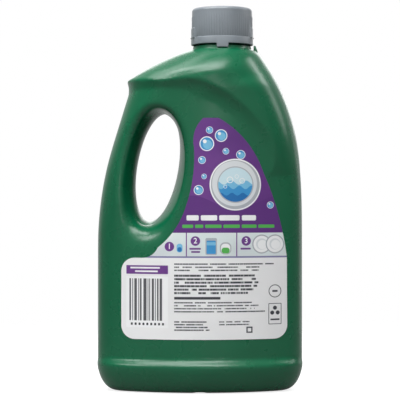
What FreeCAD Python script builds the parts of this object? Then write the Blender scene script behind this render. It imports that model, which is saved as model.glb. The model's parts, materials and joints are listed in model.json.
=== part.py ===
import FreeCAD, Part
import math
import os

import Sketcher

# A blown gel bottle with a through handle, its squeeze-and-turn cap, foam liner, pour spout,
# front label and filling. Millimetres, +Z up, label towards -Y, origin on the floor
# under the middle of the body. The body is made twice from the same sizes: once as the
# outer skin and once, one wall smaller, as the cavity.

doc = FreeCAD.newDocument("gel_bottle")
V = FreeCAD.Vector

SIZES = [
    # body
    ("body_half_width", 77.4, "centre to side at the base band"),
    ("body_half_depth", 40.5, "centre to front at the base band"),
    ("shoulder_top", 255.0, "floor to the flat under the neck"),
    ("wall", 1.1, "blown wall"),
    ("panel_recess", 4.0, "label panel behind the base band, front and back"),
    ("side_recess", 0.4, "body side behind the base band"),
    ("panel_radius", 135.0, "label panel's cylinder, also the front of every section"),
    ("band_ramp", 4.4, "height of the ramp from the band back to the panel"),
    ("heel_reach", 14.0, "how far the heel curves in under the body"),
    ("heel_rise", 22.0, "how high the heel curve starts"),
    ("foot_width", 7.0, "standing ring round the push-up"),
    ("push_up", 3.5, "height of the hollow under the base"),
    ("notch_width", 8.0, "vent notch across the standing ring"),
    ("notch_depth", 0.7, "height of the vent notch"),
    # sides above the label
    ("straight_drop", 147.0, "shoulder top down to where the sides start to lean"),
    ("back_radius", 259.0, "curve of the handle's back"),
    ("back_lean", 17.2, "lean of the handle's straight back, degrees"),
    ("side_reach", 34.9, "how far the far side leans in by the shoulder top"),
    ("side_power", 3.3, "how late the far side leans in"),
    # shoulder
    ("corner_drop", 23.6, "shoulder top down to the handle's upper corner"),
    ("corner_half_width", 55.6, "centre out to the handle's upper corner"),
    ("ridge_radius", 190.0, "curve of the ridge from the neck to that corner"),
    ("dome_recess", 0.1, "shoulder behind the base band at its fullest"),
    ("dome_power", 1.75, "how late the shoulder front rounds over"),
    ("dome_round", 21.5, "height over which it rounds over"),
    ("crease_reach", 24.6, "centre out to the swoosh's own centre, handle side"),
    ("crease_drop", 110.6, "shoulder top down to the swoosh's centre"),
    ("crease_rise", 16.0, "swoosh centre up to where the shoulder leaves the body"),
    ("swell_height", 34.0, "height over which the shoulder swells to its full depth"),
    ("shoulder_overhang", 0.5, "how far the shoulder's far side stands outside the body's"),
    ("foot_radius", 80.0, "circle along the foot of the cove"),
    ("foot_shift", 5.5, "its centre further towards the handle"),
    ("brow_radius", 88.8, "circle along the top of the cove, under the shoulder"),
    ("brow_shift", 2.3, "its centre further towards the handle"),
    ("cove_lift", 0.6, "both centres above the swoosh's centre"),
    ("cove_height", 3.4, "how far the cove's top stands out"),
    ("cove_start", 0.24, "steepness of the cove at its foot against its mean"),
    # hand hole
    ("hole_reach", 31.8, "centre out to the middle of the hole"),
    ("hole_drop", 88.0, "shoulder top down to the middle of the hole"),
    ("hole_length", 82.2, "clear length of the hole"),
    ("hole_breadth", 30.8, "clear breadth of the hole"),
    ("hole_lean", 9.8, "lean of the hole, degrees"),
    ("mouth_length", 108.0, "length of the bell mouth at the front"),
    ("mouth_breadth", 52.0, "breadth of the bell mouth at the front"),
    ("mouth_shift", 2.8, "bell mouth's middle further out"),
    ("mouth_sink", 6.2, "bell mouth's middle lower, which makes the finger dish"),
    ("half_length", 90.0, "length of the hole half way in"),
    ("half_breadth", 42.0, "breadth of the hole half way in"),
    ("half_shift", 4.0, "its middle further out there, which rounds the handle"),
    ("half_sink", 2.5, "its middle lower there"),
    ("lip_radius", 5.0, "rounding of the bell mouth's lip"),
    ("lip_wall", 5.0, "extra wall of the hole's tube at the lip"),
    ("lip_hold", 0.75, "share of that wall reached half way in"),
    # neck
    ("neck_reach", 16.7, "centre out to the neck"),
    ("root_radius", 25.1, "shoulder's flat top round the neck"),
    ("collar_radius", 22.0, "collar under the cap"),
    ("collar_height", 3.3, "shoulder top to the top of the collar"),
    ("finish_radius", 17.55, "outside of the neck"),
    ("finish_height", 28.3, "shoulder top to the neck's lip"),
    ("bore_radius", 15.3, "inside of the neck"),
    ("bead_radius", 19.3, "bead over the collar"),
    ("bead_height", 2.2, "thickness of the bead"),
    ("post_thickness", 1.5, "lock post beside the cap"),
    ("post_width", 6.0, "lock post across"),
    ("post_height", 4.0, "shoulder top to the top of the lock post"),
    # cap
    ("cap_lift", 4.3, "shoulder top to the skirt's foot"),
    ("cap_radius", 22.7, "upper shell of the cap"),
    ("skirt_radius", 23.4, "smooth skirt of the cap"),
    ("cap_height", 27.7, "skirt's foot to the cap's top, or what the neck inside it needs"),
    ("skirt_height", 5.2, "skirt's foot to the step up to the ribbed shell"),
    ("pad_height", 12.7, "skirt's foot to the top of the squeeze pads"),
    ("pad_width", 28.0, "squeeze pad across"),
    ("cap_wall", 1.0, "cap wall"),
    ("cap_top", 1.6, "cap's top plate"),
    ("cap_edge", 2.6, "rounding of the top edge"),
    ("cap_gap", 0.35, "skirt to the collar inside it, all round"),
    ("thread_depth", 1.25, "room for the thread between neck and cap"),
    ("thread_length", 15.0, "height of the cap's threaded collar"),
    ("tab_width", 8.2, "squeeze tab across"),
    ("tab_drop", 3.0, "squeeze tab below the skirt"),
    # liner and spout
    ("liner_thickness", 1.0, "foam liner"),
    ("liner_gap", 0.05, "liner to spout"),
    ("flange_thickness", 1.0, "spout's flange on the neck's lip"),
    ("plug_gap", 0.05, "spout to the neck's bore, all round"),
    ("plug_length", 14.0, "spout inside the neck"),
    ("spout_wall", 1.2, "spout wall"),
    ("pour_radius", 7.0, "spout's pouring hole"),
    # label
    ("label_thickness", 0.15, "label film"),
    ("label_gap", 0.08, "adhesive under the label"),
    ("label_foot", 40.1, "floor to the label's lower edge"),
    ("label_waist", 100.1, "floor to the top of the label's wide part"),
    ("label_left", 58.3, "centre to the label's edge, handle side"),
    ("label_right", 64.8, "centre to the label's other edge"),
    ("label_corner", 9.9, "label's corner radius"),
    ("label_rim", 3.2, "label to the bell mouth's flare, which leaves room for the lip"),
    ("label_swoosh_radius", 78.0, "circle beside the label's long edge, round the swoosh's centre"),
    ("label_swoosh", 8.0, "label's top inside that circle"),
    ("label_swoosh_low", 4.1, "where its long edge starts, inside the same circle"),
    ("label_top_drop", 52.0, "shoulder top down to the label's top"),
    ("label_head", 7.0, "reach of the curve at the label's top"),
    ("label_elbow_drop", 92.5, "shoulder top down to the start of the long edge"),
    ("label_bow", 2.6, "outward bow of the long edge"),
    ("label_tail", 11.0, "length of the curve from the bell mouth into the wide part"),
    # filling
    ("fill_drop", 32.0, "shoulder top down to the gel's surface"),
    ("gel_gap", 0.6, "gel to the wall, all round"),
    ("gel_foot", 6.0, "floor to the bottom of the gel"),
]

sheet = doc.addObject("Spreadsheet::Sheet", "sizes")
for row, (alias, value, note) in enumerate(SIZES, start=1):
    sheet.set("A%d" % row, alias)
    sheet.set("B%d" % row, str(value))
    sheet.set("C%d" % row, note)
    sheet.setAlias("B%d" % row, alias)
doc.recompute()


def size(alias):
    return float(sheet.get(alias))


def cells(text):
    """Cell names are written in braces, as in "{wall} * 2"."""
    return text.replace("{", "sizes.").replace("}", "")


def bind(obj, prop, text):
    obj.setExpression(prop, cells(text))


def worth(text):
    return float(sheet.evalExpression(cells(text)))


# ---------------------------------------------------------------- outline of the body

CREASE_X = -size("crease_reach")
CREASE_Z = size("shoulder_top") - size("crease_drop")
STRAIGHT_TOP = size("shoulder_top") - size("straight_drop")
PANEL_HALF_DEPTH = size("body_half_depth") - size("panel_recess")
DOME_HALF_DEPTH = size("body_half_depth") - size("dome_recess")
SIDE_HALF_WIDTH = size("body_half_width") - size("side_recess")

# a wider cap brings a wider flat under it, so that the lock post beside it still stands on the shoulder
ROOT_RADIUS = max(size("root_radius"), size("skirt_radius") + size("post_thickness"))
SIDE_REACH = min(size("side_reach"), SIDE_HALF_WIDTH - size("neck_reach") - ROOT_RADIUS)
CORNER_Z = size("shoulder_top") - size("corner_drop")
RISE_Z = CREASE_Z + size("crease_rise")
SWELL_Z = RISE_Z + size("swell_height")


def far_side(z):
    """Side away from the handle: upright, then leaning in ever faster."""
    lean = max(0.0, (z - STRAIGHT_TOP) / size("straight_drop"))
    return SIDE_HALF_WIDTH - SIDE_REACH * min(lean, 1.0) ** size("side_power")


def handle_back(z):
    """Handle side: upright, then an arc, then the straight line that ends it."""
    rise = z - STRAIGHT_TOP
    radius = size("back_radius")
    lean = math.radians(size("back_lean"))
    if rise <= 0:
        return -SIDE_HALF_WIDTH
    if rise < radius * math.sin(lean):
        return -SIDE_HALF_WIDTH + radius - math.sqrt(radius**2 - rise**2)
    arc_end = -SIDE_HALF_WIDTH + radius * (1 - math.cos(lean))
    return arc_end + math.tan(lean) * (rise - radius * math.sin(lean))


def ridge(z):
    """Ridge from the neck's root down to the handle's corner: one arc, carried on below."""
    high = V(size("neck_reach") - ROOT_RADIUS, 0, size("shoulder_top"))
    low = V(-size("corner_half_width"), 0, CORNER_Z)
    chord = high - low
    middle = (high + low) * 0.5
    radius = size("ridge_radius")
    inward = V(chord.z, 0, -chord.x).normalize()
    centre = middle + inward * math.sqrt(radius**2 - (chord.Length / 2) ** 2)
    return centre.x - math.sqrt(radius**2 - (z - centre.z) ** 2)


def far_shoulder(z):
    """The shoulder's own far side: comes out of the body's, then follows it."""
    return far_side(z) + size("shoulder_overhang") * min((z - RISE_Z) / size("swell_height"), 1.0)


def dome_front(z):
    """Half depth of the shoulder: swells out of the panel, then rounds over to the neck's root."""
    low = max(0.0, (SWELL_Z - z) / (SWELL_Z - RISE_Z))
    swell = DOME_HALF_DEPTH - (DOME_HALF_DEPTH - PANEL_HALF_DEPTH) * low**2
    over = max(0.0, 1 - (size("shoulder_top") - z) / size("dome_round"))
    drop = DOME_HALF_DEPTH - ROOT_RADIUS + 1.0
    return swell - drop * over ** size("dome_power")


def dome_share(z):
    """0 where the shoulder still matches the body, 1 at the neck's root, easing in and out."""
    share = max(0.0, 1 - (size("shoulder_top") - z) / (size("corner_drop") + 6))
    return share * share * (3 - 2 * share)


def side_radius(reach, half_depth):
    """End radius that runs smoothly into a front of panel_radius."""
    front = size("panel_radius")
    return (2 * front * half_depth - reach**2 - half_depth**2) / (2 * (front - reach))


def quarter(reach, half_depth, end_radius):
    """Quarter oval from the front's middle to the side's: big arc, then end arc."""
    front = (reach - end_radius) ** 2 + half_depth**2 - end_radius**2
    front = front / (2 * (half_depth - end_radius))
    turn = math.atan2(front - half_depth, reach - end_radius)
    half_way = (turn + math.pi / 2) / 2
    sag = front - half_depth
    return [
        (0, half_depth),
        (front * math.cos(half_way), front * math.sin(half_way) - sag),
        (front * math.cos(turn), front * math.sin(turn) - sag),
        (reach - end_radius + end_radius * math.cos(turn / 2), end_radius * math.sin(turn / 2)),
        (reach, 0),
    ]


def oval(z, left, right, centre, half_depth, left_end, right_end, inset=0.0):
    """Closed level outline of eight arcs; inset moves every arc inwards by the same amount."""
    edges = []
    for side, end in ((1, right_end), (-1, left_end)):
        reach = (right - centre if side > 0 else centre - left) - inset
        points = quarter(reach, half_depth - inset, end - inset)
        for face in (1, -1):
            a, b, c, d, e = [V(centre + side * x, face * y, z) for x, y in points]
            arcs = [Part.Arc(a, b, c).toShape(), Part.Arc(c, d, e).toShape()]
            edges += arcs
    return Part.Wire(Part.__sortEdges__(edges))


def body_oval(z, inset=0.0):
    """Section of the body behind the label panel."""
    left, right = handle_back(z), far_side(z) - 0.06 * max(0.0, z - SWELL_Z + 10)
    ends = [side_radius(reach, PANEL_HALF_DEPTH) for reach in (-left, right)]
    return oval(z, left, right, 0.0, PANEL_HALF_DEPTH, ends[0], ends[1], inset)


def band_oval(z, inset=0.0):
    """Section of the base band."""
    reach, depth = size("body_half_width"), size("body_half_depth")
    end = side_radius(reach, depth)
    return oval(z, -reach, reach, 0.0, depth, end, end, inset)


def dome_oval(z, inset=0.0):
    """Section of the shoulder, drifting from the body's middle to the neck."""
    share = dome_share(z)
    centre = share * size("neck_reach")
    depth = dome_front(z)
    left, right = ridge(z), far_shoulder(z)
    ends = []
    for reach in (centre - left, right - centre):
        full = side_radius(min(reach, SIDE_HALF_WIDTH), depth)
        ends.append(min(full + (ROOT_RADIUS - 3.0 - full) * share, depth - 1.0))
    return oval(z, left, right, centre, depth, ends[0], ends[1], inset)


def levels(low, high, count, crowd=1.0):
    """Heights from low to high, crowded towards the top when crowd is over 1."""
    return [low + (high - low) * (1 - (1 - k / count) ** crowd) for k in range(count + 1)]


def solid(name, shape):
    """A document object that holds one worked-out solid."""
    obj = doc.addObject("Part::Feature", name)
    obj.Shape = shape
    return obj


def join(kind, name, shapes):
    obj = doc.addObject("Part::Multi" + kind, name)
    obj.Shapes = shapes
    obj.Refine = False
    return obj


def cut(name, base, tool):
    obj = doc.addObject("Part::Cut", name)
    obj.Base = base
    obj.Tool = tool
    obj.Refine = False
    return obj


def cove(x, z):
    """How far the cove stands out from the panel's own surface, between foot and brow."""
    rise = z - CREASE_Z - size("cove_lift")
    past_foot = math.hypot(x - CREASE_X + size("foot_shift"), rise) - size("foot_radius")
    past_brow = math.hypot(x - CREASE_X + size("brow_shift"), rise) - size("brow_radius")
    along = max(past_foot / (past_foot - past_brow), -1.0)
    start = size("cove_start")
    return size("cove_height") * along * (start + (1 - start) * abs(along))


COVE_POINTS = 48


def cove_section(z, inset=0.0):
    """The body's section pushed outwards by the cove, as one smooth closed curve."""
    wire = body_oval(z, inset)
    points = []
    for point in wire.discretize(COVE_POINTS + 1)[:-1]:
        out = V(point.x * (PANEL_HALF_DEPTH / SIDE_HALF_WIDTH) ** 2, point.y, 0).normalize()
        points.append(point + out * cove(point.x, z))
    curve = Part.BSplineCurve()
    steps = [k / COVE_POINTS for k in range(COVE_POINTS + 1)]
    curve.interpolate(Points=points, PeriodicFlag=True, Parameters=steps)
    return Part.Wire([curve.toShape()])


def heel_ovals(inset, floor, steps):
    """The base band's heel: a quarter ellipse that ends on the band's upright wall."""
    rise = size("heel_rise") - floor
    ovals = []
    for step in range(steps + 1):
        turn = math.radians(90 * step / steps)
        z = floor + rise * (1 - math.cos(turn))
        ovals.append(band_oval(z, inset + size("heel_reach") * (1 - math.sin(turn))))
    return ovals


def skin(name, inset, floor):
    """One closed skin of the body without hand hole or neck; inset 0 is the outside."""
    band_top = size("heel_rise")
    # outside the heel is smooth; inside it is three flats, a little thicker at the bends
    inside = inset > 0
    heel = Part.makeLoft(heel_ovals(inset, floor, 3 if inside else 5), True, inside)
    ramp_foot = band_oval(band_top, inset)
    ramp_head = body_oval(band_top + size("band_ramp"), inset + 0.4)
    ramp = Part.makeLoft([ramp_foot, ramp_head], True, True)
    waist = Part.Face(body_oval(band_top, inset)).extrude(V(0, 0, STRAIGHT_TOP - band_top))
    sides_top = CREASE_Z + size("foot_radius") + size("cove_lift") + 2.0 - inset
    sides = Part.makeLoft([body_oval(z, inset) for z in levels(STRAIGHT_TOP, sides_top, 6)], True)
    # the cavity's shoulder is one wall lower as well as one wall further in
    lower = V(0, 0, -inset)
    dome_levels = levels(RISE_Z - 3, size("shoulder_top"), 12, 1.5)
    dome = Part.makeLoft([dome_oval(z, inset) for z in dome_levels], True).translated(lower)
    cove_levels = levels(RISE_Z - 6, size("shoulder_top") + 6, 12)
    cove_core = Part.makeLoft([cove_section(z, inset) for z in cove_levels], True).translated(lower)
    shoulder = join(
        "Common", name + "_shoulder", [solid(name + "_dome", dome), solid(name + "_core", cove_core)]
    )
    pieces = [
        solid(name + "_heel", heel),
        solid(name + "_ramp", ramp),
        solid(name + "_waist", waist),
        solid(name + "_sides", sides),
        shoulder,
    ]
    return join("Fuse", name + "_skin", pieces)


def hand_hole(name, extra, lip="0"):
    """Bell-mouthed tool through the body: five ellipses, from mouth through throat to mouth.
    extra makes it bigger all along, and lip makes it bigger still towards the mouths."""
    ends = size("body_half_depth") + 1.5
    sections = []
    stages = (("mouth", "1"), ("half", "{lip_hold}"), ("hole", "0"))
    for step, depth in enumerate((-ends, -ends / 2, 0, ends / 2, ends)):
        stage, swell = stages[min(step, 4 - step)]
        ring = doc.addObject("Part::Ellipse", "%s_ring_%d" % (name, step + 1))
        for prop, side in (("MajorRadius", "length"), ("MinorRadius", "breadth")):
            bind(ring, prop, "{%s_%s} / 2 + %s + %s * %s" % (stage, side, extra, lip, swell))
        # the long axis stands up and leans towards the neck
        stand = FreeCAD.Rotation(V(1, 0, 0), 90)
        lean = FreeCAD.Rotation(V(0, 1, 0), -90 + size("hole_lean"))
        ring.Placement = FreeCAD.Placement(V(0, depth, 0), lean.multiply(stand))
        shift, sink = ("0", "0") if stage == "hole" else ("{%s_shift}" % stage, "{%s_sink}" % stage)
        bind(ring, ".Placement.Base.x", "-{hole_reach} - " + shift)
        bind(ring, ".Placement.Base.z", "{shoulder_top} - {hole_drop} - " + sink)
        sections.append(ring)
    tool = doc.addObject("Part::Loft", name)
    tool.Sections = sections
    tool.Solid = True
    return tool


def push_up(name, extra):
    """The hollow pressed up under the base, or, made bigger by a wall, the hump inside."""
    rim = size("heel_reach") + size("foot_width") - extra
    top = size("push_up") + extra
    wires = [band_oval(-1.0, rim - 1.0), band_oval(top, rim + size("push_up"))]
    return solid(name, Part.makeLoft(wires, True, True))


def box(name, length, width, height, x, y, z):
    obj = doc.addObject("Part::Box", name)
    for prop, text in (("Length", length), ("Width", width), ("Height", height)):
        bind(obj, prop, text)
    for axis, text in (("x", x), ("y", y), ("z", z)):
        bind(obj, ".Placement.Base." + axis, text)
    return obj


def cylinder(name, radius, height, x, z):
    obj = doc.addObject("Part::Cylinder", name)
    bind(obj, "Radius", radius)
    bind(obj, "Height", height)
    bind(obj, ".Placement.Base.x", x)
    bind(obj, ".Placement.Base.z", z)
    return obj


def plane_of(body, role):
    return [part for part in body.Origin.OriginFeatures if part.Role == role][0]


def turned(name, corners):
    """A body turned about its own upright axis; corners are (radius, height) in cell terms."""
    body = doc.addObject("PartDesign::Body", name)
    sketch = body.newObject("Sketcher::SketchObject", name + "_profile")
    sketch.AttachmentSupport = [(plane_of(body, "XZ_Plane"), "")]
    sketch.MapMode = "FlatFace"
    doc.recompute()
    values = [V(worth(radius), worth(height), 0) for radius, height in corners]
    count = len(corners)
    for k in range(count):
        sketch.addGeometry(Part.LineSegment(values[k], values[(k + 1) % count]), False)
    for k in range(count):
        sketch.addConstraint(Sketcher.Constraint("Coincident", k, 2, (k + 1) % count, 1))
    for k, (radius, height) in enumerate(corners):
        if values[k].x == 0:
            sketch.addConstraint(Sketcher.Constraint("PointOnObject", k, 1, -2))
        if values[k].y == 0:
            sketch.addConstraint(Sketcher.Constraint("PointOnObject", k, 1, -1))
        for kind, text, value in (("DistanceX", radius, values[k].x), ("DistanceY", height, values[k].y)):
            if value == 0:
                continue
            row = sketch.addConstraint(Sketcher.Constraint(kind, -1, 1, k, 1, value))
            bind(sketch, "Constraints[%d]" % row, text)
    spin = body.newObject("PartDesign::Revolution", name + "_turn")
    spin.Profile = sketch
    spin.ReferenceAxis = (sketch, ["V_Axis"])
    spin.Angle = 360
    sketch.Visibility = False
    return body


# ---------------------------------------------------------------- bottle


def lip_edges(form):
    """Numbers of the edges where the hand hole's own skin meets the body, both faces."""
    hole = form.Tool.Shape
    flanks = [face for face in hole.Faces if face.BoundBox.YLength > 1]
    wanted = []
    for number, edge in enumerate(form.Shape.Edges, start=1):
        middle = edge.valueAt((edge.FirstParameter + edge.LastParameter) / 2)
        if abs(middle.y) < 8 or edge.BoundBox.YLength > 30:
            continue
        if min(face.distToShape(Part.Vertex(middle))[0] for face in flanks) < 0.01:
            wanted.append(number)
    return wanted


outer_form = cut("outer_form", skin("outer", 0.0, 0.0), hand_hole("outer_hand_hole", "0"))
doc.recompute()
outer_soft = doc.addObject("Part::Fillet", "outer_soft")
outer_soft.Base = outer_form
outer_soft.Edges = [(number, size("lip_radius"), size("lip_radius")) for number in lip_edges(outer_form)]

inner_skin = skin("inner", size("wall"), size("wall"))
inner_form = cut("inner_form", inner_skin, hand_hole("inner_hand_hole", "{wall}", "{lip_wall}"))

# neck: the part outside the body, turned; its foot stays buried in the shoulder
neck = turned(
    "neck",
    [
        ("0", "{shoulder_top} - 5"),
        ("{collar_radius} + 1.5", "{shoulder_top} - 5"),
        ("{collar_radius} + 1.5", "{shoulder_top}"),
        ("{collar_radius} + 0.5", "{shoulder_top} + 0.4"),
        ("{collar_radius}", "{shoulder_top} + 1.4"),
        ("{collar_radius}", "{shoulder_top} + {collar_height} - 0.5"),
        ("{collar_radius} - 0.5", "{shoulder_top} + {collar_height}"),
        ("{finish_radius}", "{shoulder_top} + {collar_height}"),
        ("{finish_radius}", "{shoulder_top} + {collar_height} + {bead_height} * 1.5"),
        ("{bead_radius}", "{shoulder_top} + {collar_height} + {bead_height} * 1.8"),
        ("{bead_radius}", "{shoulder_top} + {collar_height} + {bead_height} * 2.4"),
        ("{finish_radius}", "{shoulder_top} + {collar_height} + {bead_height} * 2.8"),
        ("{finish_radius}", "{shoulder_top} + {finish_height} - 0.6"),
        ("{finish_radius} - 0.6", "{shoulder_top} + {finish_height}"),
        ("0", "{shoulder_top} + {finish_height}"),
    ],
)
bind(neck, ".Placement.Base.x", "{neck_reach}")

# lock post: stands just outside the skirt's path, between the two squeeze tabs' stops
post = box(
    "lock_post",
    "{post_thickness}",
    "{post_width}",
    "{post_height} + 3",
    "{neck_reach} + {skirt_radius} + 0.3",
    "-{post_width} / 2",
    "{shoulder_top} - 3",
)

bore = cylinder("bore", "{bore_radius}", "{finish_height} + 10", "{neck_reach}", "{shoulder_top} - 8")
hump = cut("cavity_body", inner_form, push_up("hump", size("wall")))
cavity = join("Fuse", "cavity", [hump, bore])

outside = join("Fuse", "outside", [outer_soft, neck, post])
vent = box("vent_notch", "{notch_width}", "{body_half_depth} * 2", "{notch_depth} + 1",
           "-{notch_width} / 2", "-{body_half_depth}", "-1")
under = join("Fuse", "under_base", [push_up("push_up", 0.0), vent])
standing = cut("standing", outside, under)
bottle = cut("bottle", standing, cavity)
bottle.Label = "bottle"

# ---------------------------------------------------------------- cap

CAP_FOOT = "{shoulder_top} + {cap_lift}"
NECK_TOP = "{shoulder_top} + {finish_height}"
SKIRT_BORE = "{collar_radius} + {cap_gap}"
COLLAR_BORE = "{finish_radius} + {thread_depth}"

# the cap's plate seats on the liner, and the liner on the spout, so a taller neck brings a taller cap
STACK = "{flange_thickness} + {liner_thickness} + {liner_gap} * 2"
PLATE = "({finish_height} + %s - {cap_lift})" % STACK
CAP_TOP = "max({cap_height}; %s + {cap_top})" % PLATE

cap = turned(
    "cap",
    [
        (SKIRT_BORE, "0"),
        ("{skirt_radius}", "0"),
        ("{skirt_radius}", "{skirt_height}"),
        ("{cap_radius}", "{skirt_height} + {skirt_radius} - {cap_radius}"),
        ("{cap_radius}", CAP_TOP),
        ("0", CAP_TOP),
        ("0", PLATE),
        (COLLAR_BORE, PLATE),
        (COLLAR_BORE, PLATE + " - {thread_length}"),
        (COLLAR_BORE + " + {cap_wall}", PLATE + " - {thread_length}"),
        (COLLAR_BORE + " + {cap_wall}", PLATE),
        ("{cap_radius} - {cap_wall}", PLATE),
        ("{cap_radius} - {cap_wall}", "{skirt_height}"),
        (SKIRT_BORE, "{skirt_height} - 0.65"),
    ],
)
bind(cap, ".Placement.Base.x", "{neck_reach}")
bind(cap, ".Placement.Base.z", CAP_FOOT)
doc.recompute()


def ring_pieces(name, across, width, inner, outer):
    """Sketch in the cap of two short pieces of a ring, facing each other across X or Y."""
    sketch = cap.newObject("Sketcher::SketchObject", name)
    sketch.AttachmentSupport = [(plane_of(cap, "XY_Plane"), "")]
    sketch.MapMode = "FlatFace"
    doc.recompute()
    quarter_turn = math.pi / 2 if across == "Y" else 0
    for facing in (quarter_turn, quarter_turn + math.pi):
        ends = []
        for text in (inner, outer):
            reach = worth(text)
            half_turn = math.asin(worth(width) / 2 / reach)
            circle = Part.Circle(V(0, 0, 0), V(0, 0, 1), reach)
            stretch = Part.ArcOfCircle(circle, facing - half_turn, facing + half_turn)
            ends.append(sketch.addGeometry(stretch, False))
            sketch.addConstraint(Sketcher.Constraint("Coincident", ends[-1], 3, -1, 1))
            row = sketch.addConstraint(Sketcher.Constraint("Radius", ends[-1], reach))
            bind(sketch, "Constraints[%d]" % row, text)
        for corner in (1, 2):
            points = [sketch.getPoint(end, corner) for end in ends]
            side = sketch.addGeometry(Part.LineSegment(points[0], points[1]), False)
            sketch.addConstraint(Sketcher.Constraint("Coincident", side, 1, ends[0], corner))
            sketch.addConstraint(Sketcher.Constraint("Coincident", side, 2, ends[1], corner))
            upright = across == "Y"
            sketch.addConstraint(Sketcher.Constraint("Vertical" if upright else "Horizontal", side))
            kind, off = ("DistanceX", points[0].x) if upright else ("DistanceY", points[0].y)
            row = sketch.addConstraint(Sketcher.Constraint(kind, -1, 1, side, 1, off))
            bind(sketch, "Constraints[%d]" % row, ("" if off > 0 else "-") + width + " / 2")
    sketch.Visibility = False
    return sketch


def padded(name, sketch, length, downwards=False):
    pad = cap.newObject("PartDesign::Pad", name)
    pad.Profile = sketch
    pad.Reversed = downwards
    bind(pad, "Length", length)
    doc.recompute()
    return pad


# squeeze pads: smooth swellings of the skirt that reach up over the ribbed shell, left and right
skirt_volume = cap.Shape.Volume
pad_outline = ring_pieces("pad_outline", "X", "{pad_width}", "{cap_radius} - 0.2", "{skirt_radius}")
bind(pad_outline, "AttachmentOffset.Base.z", "{skirt_height} - 0.5")
pads = padded("squeeze_pads", pad_outline, "{pad_height} - {skirt_height} + 0.5")
pads_volume = cap.Shape.Volume

# squeeze tabs: two short tongues that carry the skirt down, front and back
tab_outline = ring_pieces("tab_outline", "Y", "{tab_width}", SKIRT_BORE, "{skirt_radius}")
tabs = padded("tabs", tab_outline, "{tab_drop}", downwards=True)


def rims(feature, radius, height):
    """Edge names of the full circles of one radius at one height in a body's own frame."""
    names = []
    for number, edge in enumerate(feature.Shape.Edges, start=1):
        level = edge.BoundBox
        flat = abs(level.ZMin - height) < 1e-3 and abs(level.ZMax - height) < 1e-3
        if flat and abs(level.XLength - 2 * radius) < 1e-2:
            names.append("Edge%d" % number)
    return names


cap_soft = cap.newObject("PartDesign::Fillet", "top_edge")
cap_soft.Base = (tabs, rims(tabs, size("cap_radius"), worth(CAP_TOP)))
bind(cap_soft, "Radius", "{cap_edge}")
cap.Tip = cap_soft

# ---------------------------------------------------------------- liner and spout

liner = cylinder(
    "cap_liner",
    "{finish_radius} - 0.1",
    "{liner_thickness}",
    "{neck_reach}",
    NECK_TOP + " + {flange_thickness} + {liner_gap}",
)

spout = turned(
    "pour_spout",
    [
        ("{bore_radius} - {plug_gap} - {spout_wall}", "-{plug_length}"),
        ("{bore_radius} - {plug_gap} - 0.4", "-{plug_length}"),
        ("{bore_radius} - {plug_gap}", "1 - {plug_length}"),
        ("{bore_radius} - {plug_gap}", "0"),
        ("{finish_radius} - 0.1", "0"),
        ("{finish_radius} - 0.1", "{flange_thickness}"),
        ("{pour_radius}", "{flange_thickness}"),
        ("{pour_radius}", "{flange_thickness} - {spout_wall}"),
        ("{bore_radius} - {plug_gap} - {spout_wall}", "{flange_thickness} - {spout_wall}"),
    ],
)
bind(spout, ".Placement.Base.x", "{neck_reach}")
bind(spout, ".Placement.Base.z", NECK_TOP)

# ---------------------------------------------------------------- label


def arc(a, b, c):
    return Part.Arc(V(a[0], 0, a[1]), V(b[0], 0, b[1]), V(c[0], 0, c[1])).toShape()


def line(a, b):
    return Part.LineSegment(V(a[0], 0, a[1]), V(b[0], 0, b[1])).toShape()


def mouth_rim(angle):
    """Point beside the bell mouth, label_rim outside its flare; 0 is the top end."""
    lean = math.radians(size("hole_lean"))
    along = (size("mouth_length") / 2 + size("label_rim")) * math.cos(angle)
    across = (size("mouth_breadth") / 2 + size("label_rim")) * math.sin(angle)
    x = -size("hole_reach") - size("mouth_shift") + along * math.sin(lean) + across * math.cos(lean)
    z = worth("{shoulder_top} - {hole_drop} - {mouth_sink}")
    return (x, z + along * math.cos(lean) - across * math.sin(lean))


def swoosh_rim(inside, angle):
    """Point inside the circle beside the long edge, seen from the swoosh's own centre."""
    reach = size("label_swoosh_radius") - inside
    return (CREASE_X + reach * math.cos(angle), CREASE_Z + reach * math.sin(angle))


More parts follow.
